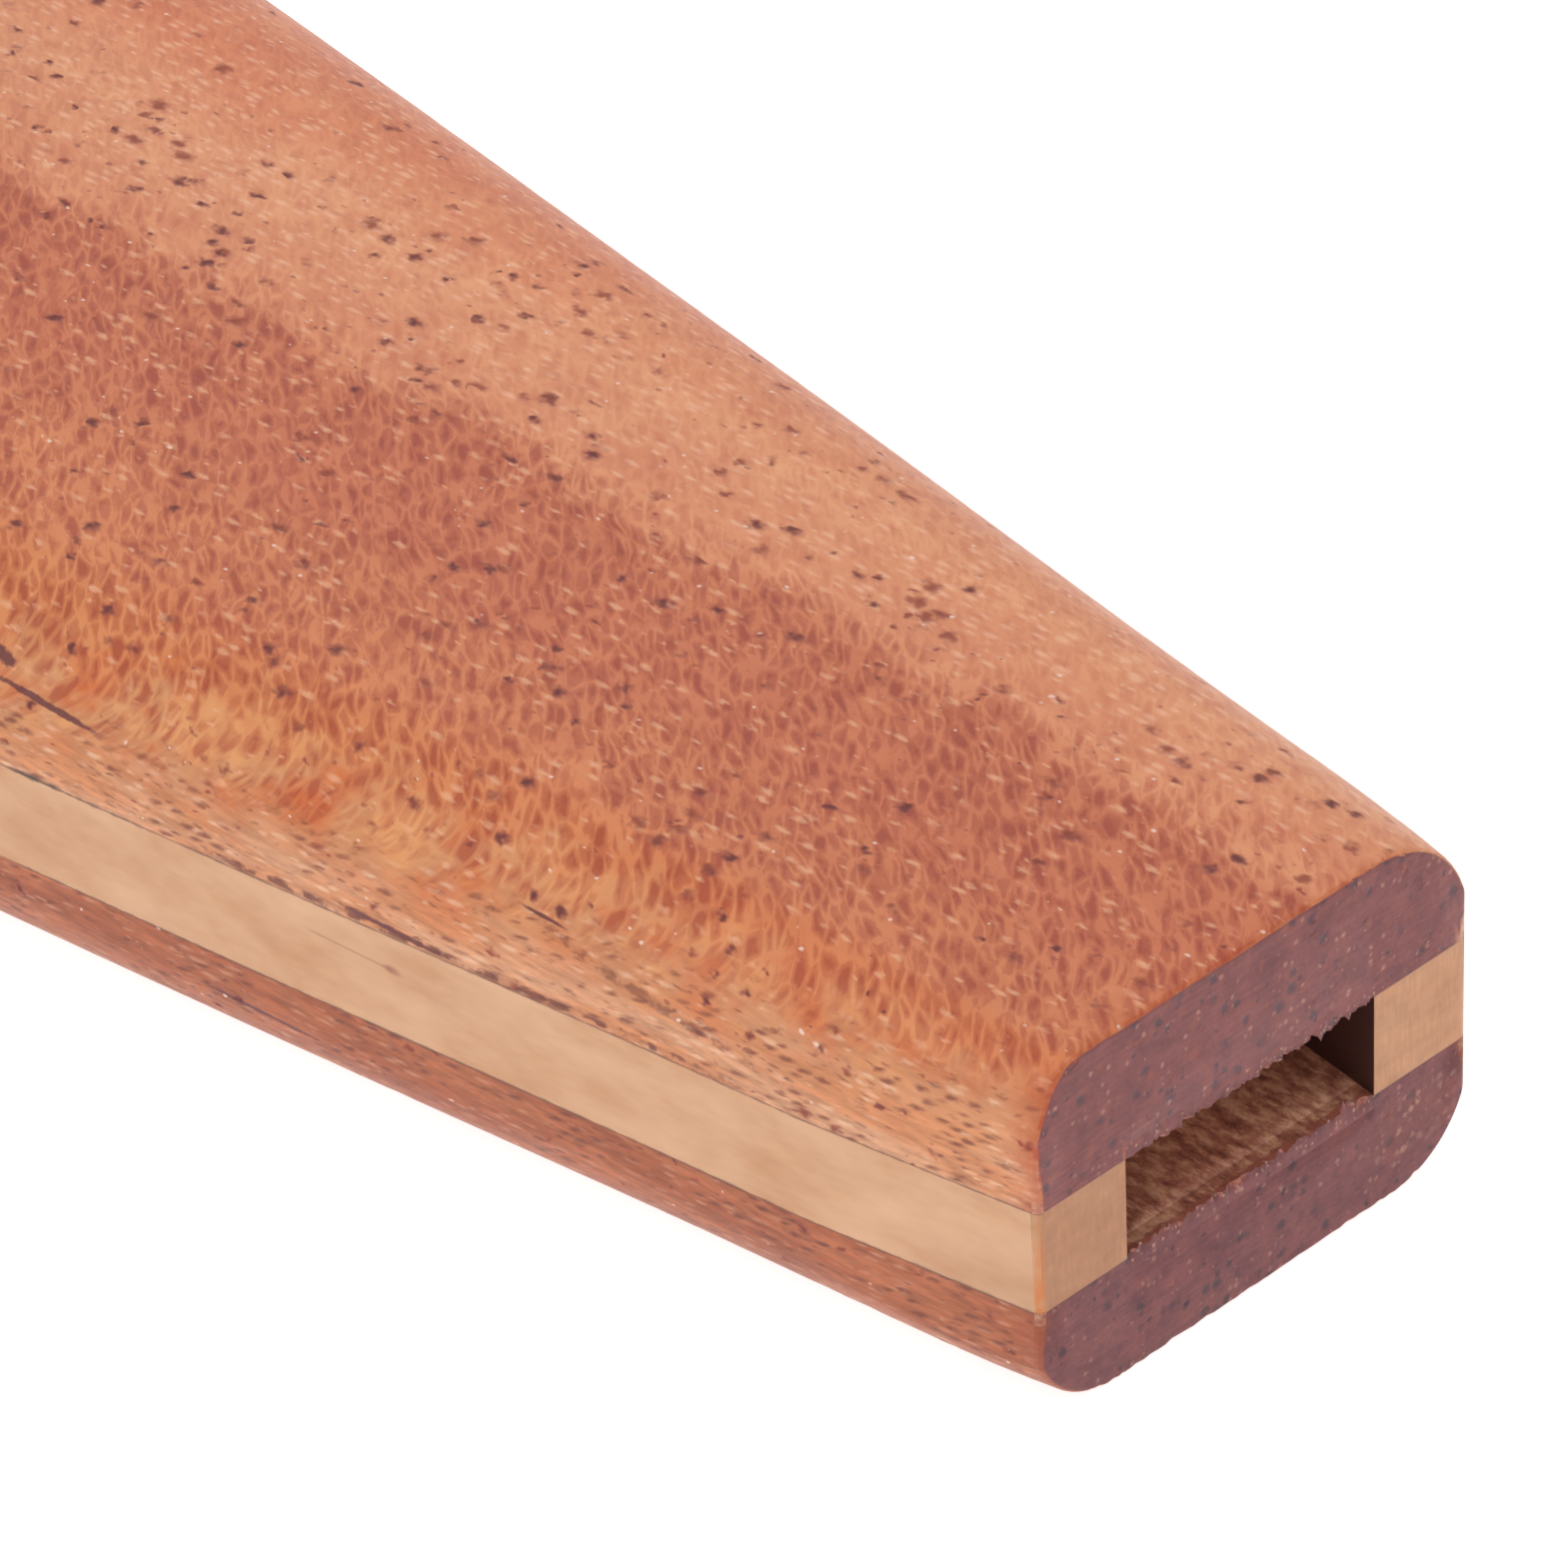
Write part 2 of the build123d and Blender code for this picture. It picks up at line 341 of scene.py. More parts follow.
def makeGlueLine():
    # dark glue squeezed out along a joint: thin and broken near the mouth, black further along
    group, given, out = newGroup(
        "glueLine",
        [("Vector", "NodeSocketVector", None), ("Height", "NodeSocketFloat", 0.0),
         ("Width", "NodeSocketFloat", 0.05), ("Start", "NodeSocketFloat", 0.0)],
        [("Mask", "NodeSocketFloat"), ("Black", "NodeSocketFloat")])
    _, y, z = split(group, given["Vector"])
    wave = longNoise(group, given["Vector"], (0.5, 0.22, 0.0), 3.0, 0.65)
    fine = longNoise(group, given["Vector"], (3.0, 1.8, 3.0), 2.0)
    blackness = plus(group, y, times(group, minus(group, wave, 0.5), 40.0))
    blackness = between(group, blackness, given["Start"], plus(group, given["Start"], 5.0))
    off = positive(group, minus(group, z, given["Height"]))
    width = times(group, given["Width"], between(group, fine, 0.2, 0.8, 0.4, 1.7))
    width = times(group, width, plus(group, 1.0, blackness))
    line = between(group, off, width, 0.0)
    present = between(group, wave, 0.36, 0.46, 0.35, 0.8)
    present = larger(group, present, blackness)
    group.links.new(times(group, line, present), out["Mask"])
    group.links.new(blackness, out["Black"])
    return group


cellMarks = makeCellMarks()
ripple = makeRipple()
glueLine = makeGlueLine()


def inMillimetres(tree):
    coord = put(tree, "ShaderNodeTexCoord")
    return timesVector(tree, coord.outputs["Object"], (1000, 1000, 1000)), coord.outputs["Normal"]


def newMaterial(name):
    material = bpy.data.materials.new(name)
    material.use_nodes = True
    tree = material.node_tree
    return material, tree, tree.nodes["Principled BSDF"]


# places taken from the frame, in millimetres
topLow, topHigh = [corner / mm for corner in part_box("top_board")]
coreLow, coreHigh = [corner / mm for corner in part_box("left_core_strip")]
capLow, capHigh = [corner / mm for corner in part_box("cap")]
collarLow, collarHigh = [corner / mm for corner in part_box("collar")]
filmLow, filmHigh = [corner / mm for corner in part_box("membrane")]
mouthY = topLow.y
turretY = (capLow.y + capHigh.y) / 2


def slotSide(node, choose):               # the inner corner of a strip at the mouth
    near = [v.co.x / mm for v in frame["nodes"][node].data.vertices if v.co.y / mm < mouthY + 0.01]
    return choose(near)


slotLeft = slotSide("left_core_strip", max)
slotRight = slotSide("right_core_strip", min)


topWood = {
    "bands": [                            # colour across the width, by x in millimetres
        (-16.0, tone(197, 113, 68)), (-9.5, tone(196, 106, 66)), (-6.0, tone(189, 100, 63)),
        (-3.5, tone(186, 94, 61)), (2.2, tone(185, 95, 61)), (4.2, tone(212, 130, 91)),
        (9.0, tone(222, 147, 106)), (15.0, tone(212, 123, 83)),
    ],
    "rippleDark": (0.78, 0.56, 0.56, 1), "rippleLight": (1.30, 1.66, 1.70, 1),
    "vein": tone(232, 168, 128), "stitch": tone(244, 188, 154), "flush": tone(196, 104, 78),
    "golden": tone(212, 138, 88), "orange": tone(200, 102, 54),
    "side": tone(205, 148, 112), "sideWarm": tone(200, 130, 87), "sideLight": tone(236, 190, 158),
    "dash": tone(126, 66, 50), "dashAmount": 0.95,
    "end": [(0.3, tone(114, 63, 65)), (0.7, tone(142, 82, 79))],
    "endPore": tone(74, 60, 70), "endFleck": tone(192, 138, 122), "endRust": tone(152, 84, 68),
    "rim": tone(176, 74, 40),
    "pore": tone(100, 48, 52), "porePatch": tone(150, 70, 54), "seam": tone(104, 46, 40),
    "streaks": [                          # dark, on the left side: place, height, half length, half width
        (26.5, 9.45, 2.6, 0.13), (42.6, 11.9, 2.4, 0.11), (20.6, 12.2, 1.0, 0.07), (45.5, 12.6, 1.1, 0.22),
    ],
    "glueBlackFrom": 39.0,
}
underWood = dict(
    topWood,
    side=tone(172, 98, 64), sideWarm=tone(158, 84, 53), sideLight=tone(202, 142, 114),
    dash=tone(112, 56, 44), dashAmount=0.8,
    golden=tone(175, 102, 60), orange=tone(159, 77, 46),
    end=[(0.3, tone(105, 60, 66)), (0.7, tone(142, 82, 80))],
    endPore=tone(64, 52, 60), endFleck=tone(178, 128, 112), endRust=tone(132, 76, 68),
    rim=tone(158, 82, 60),
    bands=[(-16.0, tone(166, 94, 64)), (0.0, tone(156, 85, 60)), (16.0, tone(168, 95, 67))],
    streaks=[(33.0, 3.1, 3.0, 0.10)],
    glueBlackFrom=300.0,
)
channel = {
    "wall": [(0.30, tone(114, 66, 56)), (0.46, tone(184, 120, 98)), (0.60, tone(230, 174, 140)),
             (0.72, tone(240, 200, 168))],
    # strip is the dark tone painted on the strips' inner walls in the slot, as painted shade
    "strip": tone(66, 36, 32), "lip": tone(196, 120, 98),
    "grain": tone(214, 164, 142),         # pale granules along the torn edge
}
tornPlace = {                             # the rough patch on the lower end face
    "x": 7.4, "z": 2.9, "halfWidth": 2.6, "halfHeight": 1.5,
}


def strokes(tree, x, y, z, wobble, leaves):
    # a few long dark streaks on the left side, each a thin leaf that follows the fibres
    total = 0.0
    for place, height, half, width in leaves:
        off = minus(tree, y, mouthY + place)
        along = over(tree, off, half)
        rise = times(tree, off, 0.07)
        across = over(tree, minus(tree, minus(tree, z, height), rise), width)
        far = plus(tree, times(tree, along, along), times(tree, across, across))
        total = larger(tree, total, between(tree, plus(tree, far, wobble), 1.25, 0.45))
    return times(tree, total, calc(tree, "LESS_THAN", x, 0.0))


seamLines = {                             # broken dark lines on the upper board's left side, in millimetres
    "foot": 9.4, "slope": 0.045, "curve": 0.004, "start": 8.0, "end": 19.0, "width": 0.26,
    "jointHeight": 9.34, "jointStart": 11.0, "jointEnd": 33.0, "jointWidth": 0.24,
}


def brokenSeams(tree, place, x, z, fromMouth):
    # one line climbs from the side to the shoulder, the other lies along the joint
    squared = times(tree, times(tree, fromMouth, fromMouth), seamLines["curve"])
    climb = plus(tree, times(tree, fromMouth, seamLines["slope"]), squared)
    climb = plus(tree, climb, seamLines["foot"])
    jitter = times(tree, minus(tree, roughNoise(tree, place, 1.3, 3.0, 0.65), 0.5), 0.6)
    offClimb = positive(tree, plus(tree, minus(tree, z, climb), jitter))
    climbing = between(tree, offClimb, seamLines["width"], seamLines["width"] * 0.3)
    climbing = times(tree, climbing, between(tree, fromMouth, seamLines["start"], seamLines["start"] + 4))
    climbing = times(tree, climbing,
                     between(tree, fromMouth, seamLines["end"] + 4, seamLines["end"], 0, 0.7))
    offJoint = positive(tree, minus(tree, z, seamLines["jointHeight"]))
    lying = between(tree, offJoint, seamLines["jointWidth"], seamLines["jointWidth"] * 0.3)
    lying = times(tree, lying,
                  between(tree, fromMouth, seamLines["jointStart"], seamLines["jointStart"] + 3))
    lying = times(tree, lying, between(tree, fromMouth, seamLines["jointEnd"] + 3, seamLines["jointEnd"]))
    beads = longNoise(tree, place, (0.8, 0.95, 1.6), 3.0, 0.6)
    both = times(tree, larger(tree, climbing, lying), between(tree, beads, 0.44, 0.56, 0.1, 1.0))
    return times(tree, both, calc(tree, "LESS_THAN", x, 0.0))


def makeHardwood(name, wood, glueHeight, channelSign):
    material, tree, shader = newMaterial(name)
    place, normal = inMillimetres(tree)
    x, y, z = split(tree, place)
    nx, ny, nz = split(tree, normal)
    steep = positive(tree, nz)
    lengthwise = positive(tree, ny)
    fromMouth = minus(tree, y, mouthY)
    fromGlue = positive(tree, minus(tree, z, glueHeight))
    inSlot = times(tree, between(tree, x, slotLeft - 0.05, slotLeft),
                   between(tree, x, slotRight + 0.05, slotRight))
    ragged = times(tree, minus(tree, roughNoise(tree, place, 0.9, 3.0, 0.6), 0.5), 0.6)
    facing = plus(tree, steep, ragged)
    onSide = between(tree, facing, 0.72, 0.36)
    onShoulder = between(tree, facing, 0.94, 0.70)
    onLeft = between(tree, nx, 0.02, -0.16)
    tilted = put(tree, "ShaderNodeMapping", {"Vector": place, "Rotation": (math.radians(-4.5), 0, 0)})
    tilted = tilted.outputs[0]

    # colour of the flat-sawn top, in bands along the length
    drift = longNoise(tree, place, (0.16, 0.035, 0.16), 3.0)
    patch = longNoise(tree, place, (0.34, 0.13, 0.34), 2.0)
    wanderX = plus(tree, x, times(tree, minus(tree, drift, 0.5), 4.0))
    wanderX = plus(tree, wanderX, times(tree, minus(tree, patch, 0.5), 6.0))
    across = over(tree, plus(tree, wanderX, 25.0), 50.0)
    face = ramp(tree, across, [((stop + 25) / 50, colour) for stop, colour in wood["bands"]])
    cloud = ramp(tree, longNoise(tree, place, (0.7, 0.35, 0.7), 4.0, 0.6),
                 [(0.3, (0.93, 0.85, 0.82, 1)), (0.7, (1.05, 1.09, 1.08, 1))])
    face = tinted(tree, face, cloud)

    # the rounded left edge shows golden and orange patches further along
    glow = longNoise(tree, place, (0.5, 0.30, 0.5), 3.0)
    warm = ramp(tree, glow, [(0.36, wood["orange"]), (0.52, wood["sideWarm"]), (0.62, wood["golden"])])
    along = between(tree, fromMouth, 8.0, 34.0, 0.35, 0.95)
    leftEdge = times(tree, times(tree, onShoulder, onLeft), along)
    face = mixColour(tree, leftEdge, face, warm)

    # ripples, strongest in the dark band
    figure = useGroup(tree, ripple, {"Vector": place, "Crown": topHigh.z})
    inDark = between(tree, across, 0.61, 0.55, 0.30, 1.0)
    face = mixColour(tree, times(tree, figure["Dark"], inDark), face,
                     tinted(tree, face, wood["rippleDark"]))
    veined = between(tree, across, 0.61, 0.55, 0.22, 0.85)
    veined = times(tree, veined, minus(tree, 1.0, times(tree, leftEdge, 0.5)))
    face = mixColour(tree, times(tree, figure["Vein"], veined), face,
                     tinted(tree, face, wood["rippleLight"]))
    glints = marks(tree, place, (2.3, 0.95, 2.3), radius=0.42, amount=times(tree, inDark, 0.55),
                   wobble=0.5, softness=0.9)
    face = mixColour(tree, times(tree, glints["Mask"], 0.8), face, wood["vein"])
    stitches = marks(tree, place, (2.7, 0.95, 2.7), radius=0.46,
                     amount=between(tree, across, 0.56, 0.64, 0.0,
                                    0.9), wobble=0.4, softness=0.95, disorder=0.7)
    face = mixColour(tree, times(tree, stitches["Mask"], 0.6), face, wood["stitch"])
    inPale = between(tree, across, 0.57, 0.64, 0.0, 0.8)
    flushes = marks(tree, plusVector(tree, place, (2.3, 4.1, 1.7)), (2.4, 0.9, 2.4), radius=0.48,
                    amount=inPale, wobble=0.5, softness=0.95, disorder=0.8)
    face = mixColour(tree, times(tree, flushes["Mask"], 0.4), face, wood["flush"])

    # edge grain: rows of short fine dashes, staggered from row to row
    base = longNoise(tree, tilted, (0.3, 0.14, 0.9), 3.0)
    sideTone = mixColour(tree, between(tree, base, 0.38, 0.62), wood["side"], wood["sideWarm"])
    pale = longNoise(tree, tilted, (1.4, 0.55, 4.2), 3.0, 0.6)
    sideTone = tinted(tree, sideTone, ramp(tree, pale, [(0.34, grey(0.78)), (0.64, grey(1.20))]))
    depthways = minus(tree, topHigh.z, z)
    upper = between(tree, depthways, 5.0, 2.4)
    sideTone = mixColour(tree, times(tree, upper, 0.55), sideTone, warm)
    stagger = plusVector(tree, tilted,
                         put(tree, "ShaderNodeCombineXYZ", {1: times(tree, z, 1.35)}).outputs[0])
    dashes = marks(tree, stagger, (0.8, 1.05, 2.75), radius=0.46, amount=wood["dashAmount"], wobble=0.45,
                   softness=0.85, disorder=0.62)
    fineDashes = marks(tree, tilted, (1.2, 1.0, 4.6), radius=0.34, amount=0.55, wobble=0.5, softness=0.9)
    sideMarks = larger(tree, times(tree, dashes["Mask"], 0.88), times(tree, fineDashes["Mask"], 0.65))
    lightDashes = marks(tree, plusVector(tree, stagger, (3.1, 1.7, 5.3)), (0.9, 0.85, 3.3), radius=0.44,
                        amount=0.85, wobble=0.45, softness=0.9, disorder=0.8)
    sideTone = mixColour(tree, times(tree, lightDashes["Mask"], 0.62), sideTone, wood["sideLight"])
    side = mixColour(tree, sideMarks, sideTone, wood["dash"])
    colour = mixColour(tree, onSide, face, side)

    # open pores, crowded in the pale band and along the left shoulder
    crowd = longNoise(tree, place, (0.36, 0.13, 0.36), 2.0)
    inBand = ramp(tree, across,
                  [(0.0, grey(0.22)), (0.28, grey(0.28)), (0.36, grey(0.20)), (0.55, grey(0.17)),
                   (0.62, grey(0.42)), (0.70, grey(0.34)), (0.80, grey(0.12))])
    amount = times(tree, inBand, between(tree, crowd, 0.36, 0.66, 0.35, 2.4))
    amount = times(tree, amount, between(tree, fromMouth, 12.0, 4.0, 1.0, 1.7))
    pores = marks(tree, tilted, (1.15, 0.82, 1.15), radius=between(tree, facing, 0.96, 0.75, 0.46, 0.30),
                  amount=amount, wobble=0.6, softness=0.8)
    colour = mixColour(tree, times(tree, pores["Mask"], 0.8), colour, wood["porePatch"])
    poreHeart = times(tree, pores["Core"], between(tree, pores["Shade"], 0.2, 0.6, 0.15, 0.85))
    colour = mixColour(tree, poreHeart, colour, wood["pore"])
    dots = marks(tree, place, (2.3, 1.5, 2.3), radius=0.26, amount=0.16, wobble=0.4, softness=0.7)
    colour = mixColour(tree, times(tree, dots["Mask"], 0.7), colour, wood["porePatch"])
    wobble = times(tree, minus(tree, roughNoise(tree, place, 1.6, 3.0, 0.65), 0.5), 2.2)
    streak = strokes(tree, x, y, z, wobble, wood["streaks"])
    colour = mixColour(tree, times(tree, streak, 0.9), colour, wood["pore"])
    seam = brokenSeams(tree, place, x, z, fromMouth)
    colour = mixColour(tree, times(tree, seam, 0.85), colour, wood["seam"])
    # small near-white specks are painted highlights, painted glints of the finish
    paintedGlintSpecks = marks(tree, place, (1.9, 1.4, 1.9), radius=0.17, amount=0.16, wobble=0.3, softness=0.6)
    colour = mixColour(tree, times(tree, paintedGlintSpecks["Mask"], 0.8), colour, tone(240, 208, 190))

    # end grain: dull, with dark vessels, pale flecks and faint saw lines
    endFace = between(tree, lengthwise, 0.78, 0.92)
    endBlur = longNoise(tree, place, (0.8, 0.1, 0.8), 5.0, 0.7)
    end = ramp(tree, endBlur, wood["end"])
    saw = longNoise(tree, place, (0.35, 0.1, 5.5), 3.0)
    end = tinted(tree, end, ramp(tree, saw, [(0.35, grey(0.90)), (0.65, grey(1.07))]))
    endDots = marks(tree, place, (1.9, 0.0, 1.9), radius=0.52, amount=0.42, wobble=0.4, softness=0.75)
    end = mixColour(tree, times(tree, endDots["Mask"], 0.75), end, wood["endPore"])
    rust = longNoise(tree, place, (1.5, 0.0, 1.5), 2.0)
    end = mixColour(tree, between(tree, rust, 0.56, 0.72, 0.0, 0.5), end, wood["endRust"])
    endFlecks = marks(tree, place, (3.6, 0.0, 3.6), radius=0.5, amount=0.24, wobble=0.5, softness=0.9)
    end = mixColour(tree, times(tree, endFlecks["Mask"], 0.65), end, wood["endFleck"])
    tornX = over(tree, minus(tree, x, tornPlace["x"]), tornPlace["halfWidth"])
    tornZ = over(tree, minus(tree, z, tornPlace["z"]), tornPlace["halfHeight"])
    tornPatch = plus(tree, times(tree, tornX, tornX), times(tree, tornZ, tornZ))
    tornPatch = between(tree, plus(tree, tornPatch, times(tree, ragged, 4.0)), 1.3, 0.2)
    crumbs = marks(tree, place, (2.8, 0.0, 2.8), radius=0.6, amount=0.6, wobble=0.7, softness=0.8)
    end = mixColour(tree, times(tree, tornPatch, 0.3), end, wood["endRust"])
    end = mixColour(tree, times(tree, times(tree, tornPatch, crumbs["Mask"]), 0.8), end, wood["endFleck"])

    # torn fibres round the slot belong to the end grain, whichever way they point
    frontZone = between(tree, plus(tree, fromMouth, times(tree, ragged, 0.5)), 0.48, 0.30)
    frontZone = times(tree, times(tree, frontZone, inSlot), between(tree, fromGlue, 0.95, 0.8))
    tornBand = between(tree, plus(tree, fromGlue, times(tree, ragged, 0.5)), 0.62, 0.25)
    tornBand = times(tree, tornBand, frontZone)
    inChannel = between(tree, times(tree, nz, channelSign), 0.35, 0.7)
    inChannel = larger(tree, inChannel, times(tree, inSlot, between(tree, fromMouth, 0.3, 0.6)))
    inChannel = times(tree, inChannel, between(tree, fromGlue, 0.6, 0.4))
    torn = longNoise(tree, place, (2.6, 1.0, 2.6), 5.0, 0.72)
    colour = mixColour(tree, inChannel, colour, ramp(tree, torn, channel["wall"]))
    granules = marks(tree, place, (4.2, 1.2, 4.2), radius=0.5, amount=0.42, wobble=0.5, softness=0.8)
    lip = mixColour(tree, times(tree, minus(tree, 1.0, endFace), 0.75), end, channel["lip"])
    frayed = mixColour(tree, times(tree, granules["Mask"], 0.8), lip, channel["grain"])
    end = mixColour(tree, tornBand, end, frayed)
    colour = mixColour(tree, larger(tree, endFace, frontZone), colour, end)

    # thin sanded-through rim where the faces meet the mouth end, fading at the round right corner
    rim = times(tree, between(tree, lengthwise, 0.35, 0.60), between(tree, lengthwise, 0.95, 0.85))
    rim = times(tree, rim, between(tree, roughNoise(tree, place, 1.7, 3.0, 0.6), 0.36, 0.6, 0.2, 0.95))
    rim = times(tree, rim, between(tree, steep, 0.6, 0.2, 0.55, 1.0))
    rimBlur = roughNoise(tree, place, 1.1, 3.0, 0.65)
    reddened = between(tree, plus(tree, fromMouth, times(tree, rimBlur, 1.6)), 2.1, 0.5)
    reddened = times(tree, reddened, between(tree, facing, 0.85, 0.25, 0.12, 0.75))
    rim = larger(tree, rim, times(tree, reddened, between(tree, lengthwise, 0.9, 0.7)))
    rim = times(tree, rim, between(tree, fromMouth, 1.8, 1.2))
    rim = times(tree, rim, between(tree, x, 9.0, 5.0, 0.1, 1.0))
    nearSlot = times(tree, inSlot, between(tree, fromGlue, 3.2, 2.8))
    rim = times(tree, rim, minus(tree, 1.0, nearSlot))
    colour = mixColour(tree, rim, colour, wood["rim"])

    glue = useGroup(tree, glueLine,
                    {"Vector": place, "Height": glueHeight, "Width": 0.10,
                     "Start": mouthY + wood["glueBlackFrom"]})
    glued = times(tree, glue["Mask"], between(tree, steep, 0.6, 0.4))
    glued = times(tree, glued, between(tree, lengthwise, 0.9, 0.6, 0.35, 0.9))
    glueTone = mixColour(tree, glue["Black"], tone(96, 58, 50), tone(44, 34, 40))
    colour = mixColour(tree, glued, colour, glueTone)
    tree.links.new(colour, shader.inputs["Base Color"])

    # satin surface, with the pores sunk in
    fibre = longNoise(tree, tilted, (6.0, 1.2, 6.0), 3.0, 0.6)
    height = times(tree, fibre, 0.4)
    height = minus(tree, height, times(tree, figure["Dark"], 0.25))
    height = minus(tree, height, times(tree, pores["Core"], 1.0))
    height = minus(tree, height, times(tree, times(tree, endDots["Mask"], endFace), 0.8))
    height = plus(tree, height, times(tree, times(tree, torn, inChannel), 4.0))
    bump = put(tree, "ShaderNodeBump", {"Height": height, "Distance": 0.00005, "Strength": 0.6})
    tree.links.new(bump.outputs[0], shader.inputs["Normal"])
    satin = between(tree, fibre, 0.2, 0.8, 0.40, 0.56)
    satin = plus(tree, satin, times(tree, endFace, 0.14))
    tree.links.new(plus(tree, satin, times(tree, pores["Core"], 0.3)), shader.inputs["Roughness"])
    shader.inputs["Specular IOR Level"].default_value = 0.34
    shader.inputs["Coat Weight"].default_value = 0.07
    shader.inputs["Coat Roughness"].default_value = 0.32
    return material


stripWood = {
    "side": [(0.25, tone(190, 134, 92)), (0.5, tone(204, 155, 117)), (0.75, tone(214, 167, 130))],
    "end": [(0.25, tone(183, 125, 86)), (0.75, tone(198, 142, 103))],
    "rim": tone(208, 118, 52), "fleck": tone(146, 84, 60), "blotch": tone(202, 152, 112),
    "fleckAt": 28.3, "fleckBelowGlue": 1.35,
}


def makeMaple():
    material, tree, shader = newMaterial("maple")
    place, normal = inMillimetres(tree)
    x, y, z = split(tree, place)
    nx, ny, _ = split(tree, normal)
    lengthwise = positive(tree, ny)
    fromMouth = minus(tree, y, mouthY)
    endFace = between(tree, lengthwise, 0.70, 0.92)
    cloud = longNoise(tree, place, (0.35, 0.22, 0.5), 3.0, 0.6)
    side = ramp(tree, cloud, stripWood["side"])
    grain = longNoise(tree, place, (2.5, 0.22, 4.5), 4.0, 0.6)
    side = tinted(tree, side, ramp(tree, grain, [(0.3, grey(0.95)), (0.7, grey(1.03))]))
    flecks = marks(tree, place, (0.5, 0.55, 1.9), radius=0.34, amount=0.3, wobble=0.3, softness=0.95)
    side = mixColour(tree, times(tree, flecks["Mask"], 0.35), side, stripWood["blotch"])

    # one brown mineral fleck on the left side: a thin tail with a darker head
    off = minus(tree, fromMouth, stripWood["fleckAt"])
    tail = between(tree, positive(tree, off), 2.3, 1.5)
    head = between(tree, positive(tree, plus(tree, off, 1.7)), 0.6, 0.1)
    below = minus(tree, z, coreHigh.z - stripWood["fleckBelowGlue"])
    below = positive(tree, minus(tree, below, times(tree, off, 0.05)))
    thick = plus(tree, 0.07, times(tree, head, 0.17))
    fleck = between(tree, below, thick, times(tree, thick, 0.2))
    fleck = times(tree, times(tree, fleck, tail), calc(tree, "LESS_THAN", x, 0.0))
    fleck = times(tree, fleck, between(tree, head, 0.0, 1.0, 0.5, 0.8))
    side = mixColour(tree, fleck, side, stripWood["fleck"])

    endTone = longNoise(tree, place, (0.5, 0.1, 0.5), 4.0, 0.6)
    end = ramp(tree, endTone, stripWood["end"])
    rays = longNoise(tree, place, (6.0, 0.2, 1.1), 3.0)
    end = tinted(tree, end, ramp(tree, rays, [(0.3, grey(0.90)), (0.7, grey(1.06))]))
    rings = longNoise(tree, place, (0.5, 0.2, 2.4), 3.0)
    end = tinted(tree, end, ramp(tree, rings, [(0.35, grey(0.93)), (0.65, grey(1.04))]))
    lit = ramp(tree, plus(tree, over(tree, x, 20.0), 0.5),
               [(0.1, (0.89, 0.85, 0.81, 1)), (0.9, (1.06, 1.06, 1.05, 1))])
    end = tinted(tree, end, lit)
    colour = mixColour(tree, endFace, side, end)
    rim = times(tree, between(tree, lengthwise, 0.22, 0.40), between(tree, lengthwise, 0.98, 0.88))
    rim = times(tree, rim, between(tree, fromMouth, 0.9, 0.6))
    rim = times(tree, rim, between(tree, roughNoise(tree, place, 1.5, 2.0), 0.3, 0.6, 0.5, 1.0))
    lower = between(tree, z, coreHigh.z, coreLow.z, 0.3, 0.95)
    rim = times(tree, times(tree, rim, lower), between(tree, x, 1.0, -1.0, 0.3, 1.0))
    colour = mixColour(tree, rim, colour, stripWood["rim"])

    # the strips' inner walls inside the channel are painted dark: painted shade where the slot shades them
    inward = times(tree, calc(tree, "SIGN", x), times(tree, nx, -1.0))
    colour = mixColour(tree, between(tree, inward, 0.25, 0.6), colour, channel["strip"])

    upperGlue = useGroup(tree, glueLine,
                         {"Vector": place, "Height": coreHigh.z, "Width": 0.06,
                          "Start": mouthY + topWood["glueBlackFrom"]})
    lowerGlue = useGroup(tree, glueLine,
                         {"Vector": place, "Height": coreLow.z, "Width": 0.08,
                          "Start": mouthY + underWood["glueBlackFrom"]})
    lines = larger(tree, upperGlue["Mask"], lowerGlue["Mask"])
    lines = times(tree, lines, between(tree, lengthwise, 0.9, 0.6, 0.4, 0.9))
    glueTone = mixColour(tree, upperGlue["Black"], tone(104, 66, 52), tone(44, 34, 40))
    colour = mixColour(tree, lines, colour, glueTone)
    tree.links.new(colour, shader.inputs["Base Color"])
    height = plus(tree, times(tree, grain, 0.5), times(tree, rays, 0.3))
    bump = put(tree, "ShaderNodeBump", {"Height": height, "Distance": 0.00002, "Strength": 0.5})
    tree.links.new(bump.outputs[0], shader.inputs["Normal"])
    tree.links.new(between(tree, grain, 0.2, 0.8, 0.44, 0.58), shader.inputs["Roughness"])
    shader.inputs["Coat Weight"].default_value = 0.08
    shader.inputs["Coat Roughness"].default_value = 0.35
    return material


